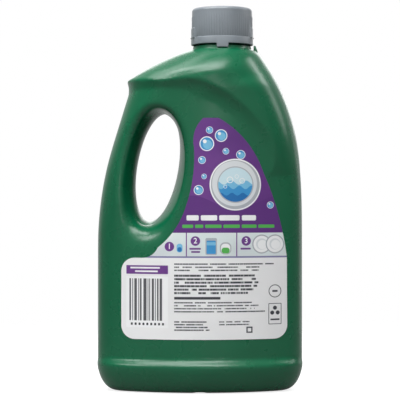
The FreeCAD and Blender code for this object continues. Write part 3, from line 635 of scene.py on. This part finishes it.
labelPrint = {
    "inks": {
        "purple": (110, 62, 138), "purpleDeep": (94, 50, 124), "lilac": (122, 120, 164),
        "film": (240, 240, 241), "white": (246, 247, 248), "band": (226, 236, 236),
        "haze": (206, 214, 217), "blue": (64, 150, 208), "sky": (122, 190, 224),
        "deep": (38, 112, 178), "pale": (206, 230, 238), "green": (84, 178, 82),
        "ink": (62, 64, 70), "silver": (222, 226, 229), "steel": (176, 181, 187),
    },
    "edge": 0.07 * mm, "swirlScale": 18, "swirl": (0.35, 0.65),
    "cloudScale": 30, "cloud": (0.3, 0.7), "cloudShare": 0.04,
    "roughness": 0.36, "uneven": 0.08, "unevenScale": 120, "shine": 0.3,
    "wrinkle": 0.2 * mm, "wrinkleScale": 45, "wrinkleStrength": 0.12,
    # the marks below are in millimetres: disc (x, z, radius), ring (x, z, radius, inner radius),
    # bar (x, z, width, height, corner), wave (height, swing, length, start),
    # rows (left, top, width, count, pitch, word, weight, seed), below (height)
    "swell": (141, 5, 66, 2.2),
    "bubbles": ((7, 194, 2.6), (15.5, 190, 4.6), (5, 184, 5.4), (19, 178.5, 2.4), (30, 176, 3.4),
                (1.5, 172, 2.8), (-1, 150, 3.6), (3, 160, 2.0), (52, 139, 2.6)),
    "bubbleRim": 0.86,  # share of the radius, as in the next line: ink, right, up, radius
    "bubbleShine": (("blue", 0, 0, 0.86), ("sky", 0.1, -0.12, 0.62), ("white", -0.28, 0.32, 0.26)),
    "dish": (26, 154),
    "dishRims": (("white", 0, 0, 19.0), ("steel", 0, 0, 18.0), ("silver", -0.6, 0.8, 16.6),
                 ("steel", 0, 0, 13.4)),
    "water": 12.6,
    "waves": (("wave", "sky", 155.5, 1.5, 11, 1.0), ("wave", "blue", 152.0, 1.3, 9, 0.2),
              ("wave", "deep", 147.0, 1.0, 8, 2.0)),
    "froth": ((22, 157.5, 2.4), (27, 160, 1.5), (31, 156.8, 2.0), (18.5, 152.5, 1.3)),
    "frothRim": 0.78,
    "barLines": (  # ink, z, height, corner, then x and width of each bar
        ("white", 129.6, 3.9, 0.9, ((-5.4, 9), (6.6, 12), (21.6, 15), (36, 10.5))),
        ("green", 123.4, 2.4, 0.6,
         ((-9.0, 8), (-0.6, 6), (9.8, 12), (23.2, 12), (36.2, 11), (49, 12))),
    ),
    "bandTop": 118.6, "hazeSwirl": (0.3, 0.7), "hazeFade": (118.5 * mm, 104 * mm),
    "dividers": (("bar", "purple", -10, 110, 0.8, 17.5, 0.1),
                 ("bar", "purple", 27, 110, 0.8, 17.5, 0.1)),
    "steps": (("1", -22.5, 108.5), ("2", -3.4, 112.6), ("3", 34, 112.6)), "stepRadius": 3.5,
    "vessels": (
        ("bar", "sky", -15, 107.4, 4.4, 6.4, 2.0), ("bar", "deep", -15, 106.4, 3.2, 3.4, 1.5),
        ("bar", "steel", 8.2, 108.6, 8.4, 12.4, 1.0), ("bar", "blue", 8.2, 108.0, 6.8, 9.8, 0.8),
        ("bar", "sky", 8.2, 110.6, 6.8, 2.4, 0.6), ("bar", "steel", 18.8, 107.2, 8.4, 8.8, 3.4),
        ("bar", "white", 18.8, 107.0, 6.8, 7.2, 2.8), ("bar", "green", 18.8, 105.6, 6.0, 4.2, 2.0),
    ),
    "plates": (45.5, 55.5),
    "plateRims": (("steel", 0, 110.2, 7.0), ("white", 0, 110.2, 6.1), ("silver", 0, 110.2, 4.2),
                  ("white", 0.5, 109.8, 3.4)),
    "captions": (
        ("bar", "purple", -3.6, 106.9, 8.4, 1.3, 0.5),
        ("bar", "purple", -3.2, 104.6, 6.6, 1.3, 0.5),
        ("bar", "purple", 33.6, 106.9, 7.6, 1.3, 0.5),
    ),
    "foot": (("below", "lilac", 101.4), ("below", "film", 100.2)),
    "footRows": (
        ("rows", "ink", -19, 96.8, 76, 3, 2.3, 3.4, 0.42, 1.0),
        ("rows", "ink", -19, 88.4, 68, 6, 2.55, 4.6, 0.58, 7.0),
        ("bar", "ink", -2, 70.6, 34, 1.9, 0.3),
        ("rows", "ink", -19, 68.4, 70, 4, 2.2, 3.2, 0.42, 19.0),
        ("rows", "ink", -19, 54.2, 27, 4, 2.0, 3.0, 0.50, 31.0),
        ("rows", "ink", 14, 54.2, 28, 2, 2.0, 3.0, 0.44, 43.0),
    ),
    "tag": (
        ("bar", "purple", -39, 91.4, 31, 6.4, 0.4), ("bar", "white", -40.5, 92.8, 22, 1.2, 0.4),
        ("bar", "white", -39.5, 90.2, 17, 1.2, 0.4), ("bar", "white", -39, 67.6, 31, 37.6, 0.4),
    ),
    "stripeStart": -52.2, "stripeShape": (69.4, 31, 0.05),  # z, height, corner
    "stripes": (  # width and gap of each
        (1.2, 1.0), (0.6, 0.9), (1.9, 1.1), (0.6, 0.6), (1.2, 1.4), (2.3, 0.8),
        (0.6, 0.6), (0.7, 1.2), (1.6, 0.7), (0.6, 1.0), (1.1, 0.8), (1.8, 0.6),
    ),
    "dots": 9, "dotStart": -50.4, "dotPitch": 2.9, "dotShape": (51.4, 1.5, 1.8, 0.4),
    "boxes": (
        ("ring", "ink", 55.5, 75.4, 4.8, 4.2), ("bar", "ink", 55.5, 75.4, 4.0, 1.4, 0.3),
        ("bar", "ink", 55.5, 58.6, 9.8, 15.6, 0.5), ("bar", "film", 55.5, 58.6, 8.8, 14.6, 0.3),
    ),
    "trio": (55.5, 60.6, 2.4, 1.5), "trioTurns": (90, 210, 330),  # x, z, reach, radius
    "lastMarks": (
        ("bar", "ink", 55.5, 54.4, 6.8, 1.2, 0.1), ("bar", "ink", 36.4, 47.2, 4.6, 4.6, 0.2),
        ("bar", "film", 36.4, 47.2, 2.6, 2.6, 0.1),
    ),
}


def placeOf(x, z):
    return (x * mm, 0, z * mm)


def vectorCalc(tree, operation, a, b=None):
    node = tree.nodes.new("ShaderNodeVectorMath")
    node.operation = operation
    for index, value in enumerate((a, b)):
        if isinstance(value, tuple):
            node.inputs[index].default_value = value
        elif value is not None:
            wire(tree, value, node.inputs[index])
    return node


def discMask(tree, flat, x, z, radius):
    reach = vectorCalc(tree, "DISTANCE", flat, placeOf(x, z)).outputs["Value"]
    edge = labelPrint["edge"]
    return ramp(tree, reach, radius * mm + edge, radius * mm - edge)


def ringMask(tree, flat, x, z, radius, inner):
    return calc(tree, "SUBTRACT", discMask(tree, flat, x, z, radius),
                discMask(tree, flat, x, z, inner), True)


def boxMask(tree, flat, x, z, width, height, corner):
    away = vectorCalc(tree, "SUBTRACT", flat, placeOf(x, z)).outputs[0]
    away = vectorCalc(tree, "ABSOLUTE", away).outputs[0]
    half = ((width / 2 - corner) * mm, 0, (height / 2 - corner) * mm)
    away = vectorCalc(tree, "SUBTRACT", away, half).outputs[0]
    away = vectorCalc(tree, "MAXIMUM", away, (0.0, 0.0, 0.0)).outputs[0]
    reach = vectorCalc(tree, "LENGTH", away).outputs["Value"]
    edge = labelPrint["edge"]
    return ramp(tree, reach, corner * mm + edge, corner * mm - edge)


def waveMask(tree, x, z, height, swing, length, start):  # everything below a wavy line
    turn = scaled(tree, x, 2 * math.pi / (length * mm), start)
    line = scaled(tree, calc(tree, "SINE", turn), swing * mm, height * mm)
    edge = labelPrint["edge"]
    return ramp(tree, calc(tree, "SUBTRACT", z, line), edge, -edge)


brokenRows = {  # shares of the pitch, of the noise and of the width
    "soft": 0.07, "rowStep": 5.3, "wordEdge": (0.33, 0.36),
    "letter": 0.16, "letterEdge": (0.28, 0.48), "letterGap": 0.5, "ragged": 0.22,
}


def rowsMask(tree, x, z, left, top, width, count, pitch, word, weight, seed):
    s = brokenRows

    def inSteps(value, size, shift):
        return calc(tree, "MULTIPLY", calc(tree, "SUBTRACT", value, shift * mm), 1 / (size * mm))

    depth = inSteps(z, -pitch, top)
    row = calc(tree, "FLOOR", depth)
    inRow = calc(tree, "ABSOLUTE", calc(tree, "SUBTRACT", calc(tree, "FRACT", depth), 0.5))
    bar = ramp(tree, inRow, weight / 2 + s["soft"], weight / 2 - s["soft"])
    line = scaled(tree, row, s["rowStep"], seed)
    masks = []
    for step, edge in ((word, s["wordEdge"]), (word * s["letter"], s["letterEdge"])):
        spot = tree.nodes.new("ShaderNodeCombineXYZ")
        wire(tree, inSteps(x, step, left), spot.inputs[0])
        wire(tree, line, spot.inputs[1])
        masks.append(ramp(tree, noise(tree, spot.outputs[0], 1.0, 0), *edge))
    letters = scaled(tree, masks[1], s["letterGap"], 1 - s["letterGap"])
    ends = tree.nodes.new("ShaderNodeTexWhiteNoise")
    ends.noise_dimensions = "1D"
    wire(tree, line, ends.inputs["W"])
    short = scaled(tree, ends.outputs["Value"], -s["ragged"] * width * mm, (left + width) * mm)
    inside = calc(tree, "LESS_THAN", x, short)
    for test in (calc(tree, "GREATER_THAN", x, left * mm), calc(tree, "LESS_THAN", z, top * mm),
                 calc(tree, "GREATER_THAN", z, (top - count * pitch) * mm), masks[0], bar, letters):
        inside = calc(tree, "MULTIPLY", inside, test)
    return inside


def makeLabelPrint():
    s = labelPrint
    material, tree, shader = newMaterial("labelPrint")
    coords = objectCoords(tree)
    axes = axesOf(tree, coords)
    x, z = axes[0], axes[2]
    flat = vectorCalc(tree, "MULTIPLY", coords, (1.0, 0.0, 1.0)).outputs[0]
    swirl = noise(tree, coords, s["swirlScale"], 3)
    inks = {name: colourOf(*shade) for name, shade in s["inks"].items()}
    layers = []  # (mask, ink), each printed over the ones before
    draw = {
        "disc": lambda *sizes: discMask(tree, flat, *sizes),
        "ring": lambda *sizes: ringMask(tree, flat, *sizes),
        "bar": lambda *sizes: boxMask(tree, flat, *sizes),
        "wave": lambda *sizes: waveMask(tree, x, z, *sizes),
        "rows": lambda *sizes: rowsMask(tree, x, z, *sizes),
        "below": lambda height: ramp(tree, z, height * mm + s["edge"], height * mm - s["edge"]),
    }

    def printMarks(*marks, within=None):
        for kind, ink, *sizes in marks:
            mask = draw[kind](*sizes)
            if within is not None:
                mask = calc(tree, "MULTIPLY", within, mask)
            layers.append((mask, ink))

    # sail: bubbles over a round dish, and two lines of bars
    printMarks(("wave", "purpleDeep", *s["swell"]))
    for atX, atZ, radius in s["bubbles"]:
        printMarks(("ring", "white", atX, atZ, radius, radius * s["bubbleRim"]))
        for ink, right, up, share in s["bubbleShine"]:
            printMarks(("disc", ink, atX + radius * right, atZ + radius * up, radius * share))
    dishX, dishZ = s["dish"]
    for ink, right, up, radius in s["dishRims"]:
        printMarks(("disc", ink, dishX + right, dishZ + up, radius))
    water = discMask(tree, flat, dishX, dishZ, s["water"])
    layers.append((water, "pale"))
    printMarks(*s["waves"], within=water)
    for atX, atZ, radius in s["froth"]:
        printMarks(("ring", "white", atX, atZ, radius, radius * s["frothRim"]))
    for ink, atZ, height, corner, bars in s["barLines"]:
        for atX, width in bars:
            printMarks(("bar", ink, atX, atZ, width, height, corner))

    # band: three fields with simple shapes
    printMarks(("below", "band", s["bandTop"]))
    layers.append((calc(tree, "MULTIPLY", ramp(tree, swirl, *s["hazeSwirl"]),
                        ramp(tree, z, *s["hazeFade"])), "haze"))
    printMarks(*s["dividers"])
    for _, atX, atZ in s["steps"]:
        printMarks(("disc", "purple", atX, atZ, s["stepRadius"]))
    printMarks(*s["vessels"])
    for atX in s["plates"]:
        for ink, right, atZ, radius in s["plateRims"]:
            printMarks(("disc", ink, atX + right, atZ, radius))
    printMarks(*s["captions"])

    # foot: a plain panel with rows, stripes and simple marks
    printMarks(*s["foot"], *s["footRows"], *s["tag"])
    across = s["stripeStart"]
    atZ, height, corner = s["stripeShape"]
    for width, gap in s["stripes"]:
        printMarks(("bar", "ink", across + width / 2, atZ, width, height, corner))
        across += width + gap
    for place in range(s["dots"]):
        printMarks(("bar", "ink", s["dotStart"] + place * s["dotPitch"], *s["dotShape"]))
    printMarks(*s["boxes"])
    middleX, middleZ, reach, radius = s["trio"]
    for turn in s["trioTurns"]:
        printMarks(("disc", "ink", middleX + reach * math.cos(math.radians(turn)),
                    middleZ + reach * math.sin(math.radians(turn)), radius))
    printMarks(*s["lastMarks"])

    art = blend(tree, ramp(tree, swirl, *s["swirl"]), inks["purple"], inks["purpleDeep"])
    for mask, ink in layers:
        art = blend(tree, mask, art, inks[ink])
    cloud = ramp(tree, noise(tree, coords, s["cloudScale"], 2), *s["cloud"])
    cloud = calc(tree, "MULTIPLY", cloud, s["cloudShare"])
    wire(tree, blend(tree, cloud, art, inks["ink"]), shader.inputs["Base Color"])
    wire(tree, scaled(tree, noise(tree, coords, s["unevenScale"], 2), s["uneven"], s["roughness"]),
         shader.inputs["Roughness"])
    bump(tree, shader, noise(tree, coords, s["wrinkleScale"], 2),  # film on a blown wall isn't flat
         s["wrinkle"], s["wrinkleStrength"])
    shader.inputs["Specular IOR Level"].default_value = s["shine"]
    print("label print", len(tree.nodes), "nodes")
    return material


labelNumerals = {
    "size": 5.6 * mm, "raise": 0.02 * mm, "thick": 0.01 * mm, "bold": 0.08 * mm,
    "panelRadius": 135.23 * mm, "fleckScale": 400, "fleck": 0.12, "roughness": 0.42,
}


def makeNumerals():
    s = labelNumerals
    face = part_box("back_label")[0][1]  # the film's front at its middle
    material, tree, shader = newMaterial("numeralInk")
    coords = objectCoords(tree)
    fleck = calc(tree, "MULTIPLY", noise(tree, coords, s["fleckScale"], 2), s["fleck"])
    inks = labelPrint["inks"]
    wire(tree, blend(tree, fleck, colourOf(*inks["white"]), colourOf(*inks["band"])),
         shader.inputs["Base Color"])
    shader.inputs["Roughness"].default_value = s["roughness"]
    made = []
    for figure, x, z in labelPrint["steps"]:
        sag = s["panelRadius"] - math.sqrt(s["panelRadius"] ** 2 - (x * mm) ** 2)
        bpy.ops.object.text_add(location=(0, 0, 0))
        obj = bpy.context.object
        obj.data.body = figure
        obj.data.size = s["size"]
        obj.data.align_x = "CENTER"
        obj.data.align_y = "CENTER"
        obj.data.extrude = s["thick"]
        obj.data.offset = s["bold"]
        pick(obj)
        bpy.ops.object.convert(target="MESH")
        obj = bpy.context.object
        obj.location = (x * mm, face + sag - s["raise"], z * mm)
        obj.rotation_euler = (math.radians(90), 0, math.asin(x * mm / s["panelRadius"]))
        settle(obj)
        made.append(obj)
    pick(*made)
    bpy.ops.object.join()
    obj = bpy.context.object
    obj.name = obj.data.name = "label_numerals"
    dress(obj, material)
    settle(obj)
    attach(obj, "bottle")
    print("numerals", len(obj.data.polygons), "faces")


plastic = makeBottlePlastic()
makeBottleSkin(plastic)
makeNeckFinish(plastic)
makeLockPost(plastic)
makeCapShell(makeCapPlastic())
dress(frame["nodes"]["cap_liner"], makeFoam())
dress(frame["nodes"]["pour_spout"], makeNatural())
dress(frame["nodes"]["gel"], makeGel())
dress(frame["nodes"]["back_label"], makeLabelPrint())
makeNumerals()


# floor, backdrop, lights, camera

studio = {
    "distance": 1.28, "height": 142.7 * mm, "lens": 152.6, "sensor": 36,
    "floorSize": 4, "floorColour": (0.25, 0.25, 0.25, 1), "floorRoughness": 0.7,
    "floorLift": 0.80, "floorGloss": 0.15, "fadeFrom": 0.30, "fadeTo": 0.75,
    "air": 0.05, "sideFrom": 0.50, "sideTo": 0.66, "sideLevel": 0.32, "endLevel": 0.66,
    "lamps": (  # name, place, target, width, depth, watts
        ("key", (0.02, -0.74, 1.16), (0, 0, 0.14), 0.70, 0.46, 8.5),
        ("keyLeft", (-0.74, -0.54, 0.98), (0, 0, 0.12), 0.46, 0.42, 6.6),
        ("overhead", (-0.14, -0.28, 1.20), (0, 0, 0.10), 0.94, 0.34, 10),
        ("upperLeft", (-0.36, 0.16, 1.02), (0, 0, 0.24), 0.46, 0.32, 1.7),
        ("upperRight", (0.66, 0.15, 0.72), (0, 0, 0.24), 0.13, 0.26, 1.2),
        ("middleRight", (0.80, 0.09, 0.46), (0, 0, 0.22), 0.18, 0.24, 0.58),
        ("rightStrip", (0.75, 0.65, 0.25), (0, 0, 0.15), 0.08, 0.60, 0.15),
        ("fill", (0.25, -2.1, 0.55), (0, 0, 0.14), 1.2, 0.8, 0.9),
        ("behind", (0.30, 1.9, 0.80), (0, 0, 0.14), 1.4, 0.9, 9),
    ),
    "spot": ("lowFront", (0.30, -1.7, 0.30), (0, 0, 0.055), 1, 1, 29),
    "spotAngle": 8.5, "spotBlend": 1.0, "spotRadius": 0.25,
}


def seenDirectly(tree, inGloss):  # 1 for what the camera sees, inGloss for what it sees in gloss
    path = tree.nodes.new("ShaderNodeLightPath")
    seen = calc(tree, "MAXIMUM", path.outputs["Is Camera Ray"], path.outputs["Is Transmission Ray"])
    gloss = calc(tree, "MULTIPLY", path.outputs["Is Glossy Ray"], inGloss)
    return calc(tree, "MAXIMUM", seen, gloss)


def makeFloor():
    s = studio
    bpy.ops.mesh.primitive_plane_add(size=s["floorSize"], location=(0, 0, 0))
    floor = bpy.context.object
    floor.name = "studio_floor"
    material, tree, shader = newMaterial("studioFloor")
    shader.inputs["Base Color"].default_value = s["floorColour"]
    shader.inputs["Roughness"].default_value = s["floorRoughness"]
    shader.inputs["Emission Color"].default_value = (1, 1, 1, 1)
    wire(tree, calc(tree, "MULTIPLY", seenDirectly(tree, s["floorGloss"]), s["floorLift"]),
         shader.inputs["Emission Strength"])
    reach = vectorCalc(tree, "LENGTH", objectCoords(tree)).outputs["Value"]
    wire(tree, ramp(tree, reach, s["fadeTo"], s["fadeFrom"]), shader.inputs["Alpha"])
    floor.data.materials.append(material)


def makeWorld():
    s = studio
    world = bpy.data.worlds.new("studioAir")
    bpy.context.scene.world = world
    world.use_nodes = True
    tree = world.node_tree
    background = tree.nodes["Background"]
    background.inputs["Color"].default_value = (1, 1, 1, 1)
    around = tree.nodes.new("ShaderNodeTexCoord").outputs["Generated"]
    sides = calc(tree, "ABSOLUTE", axesOf(tree, around)[1])
    facing = scaled(tree, ramp(tree, sides, s["sideFrom"], s["sideTo"]),
                    s["endLevel"] - s["sideLevel"], s["sideLevel"])  # dimmer at the two sides
    strength = scaled(tree, seenDirectly(tree, facing), 1 - s["air"], s["air"])
    wire(tree, strength, background.inputs["Strength"])


def addLamp(name, place, target, width, depth, power):
    bpy.ops.object.light_add(type="AREA", location=place)
    lamp = bpy.context.object
    lamp.name = name
    lamp.data.shape = "RECTANGLE"
    lamp.data.size = width
    lamp.data.size_y = depth
    lamp.data.energy = power
    aim = Vector(target) - Vector(place)
    lamp.rotation_euler = aim.to_track_quat("-Z", "Y").to_euler()
    return lamp


def makeLamps():
    s = studio
    for lamp in s["lamps"]:
        addLamp(*lamp)
    spot = addLamp(*s["spot"])
    spot.data.type = "SPOT"
    spot.data.spot_size = math.radians(s["spotAngle"])
    spot.data.spot_blend = s["spotBlend"]
    spot.data.shadow_soft_size = s["spotRadius"]


def makeCamera():
    s = studio
    bpy.ops.object.camera_add(
        location=(0, -s["distance"], s["height"]), rotation=(math.pi / 2, 0, 0))
    camera = bpy.context.object
    camera.data.lens = s["lens"]
    camera.data.sensor_width = s["sensor"]
    bpy.context.scene.camera = camera


makeFloor()
makeWorld()
makeLamps()
makeCamera()
bpy.context.scene.view_settings.view_transform = "Standard"
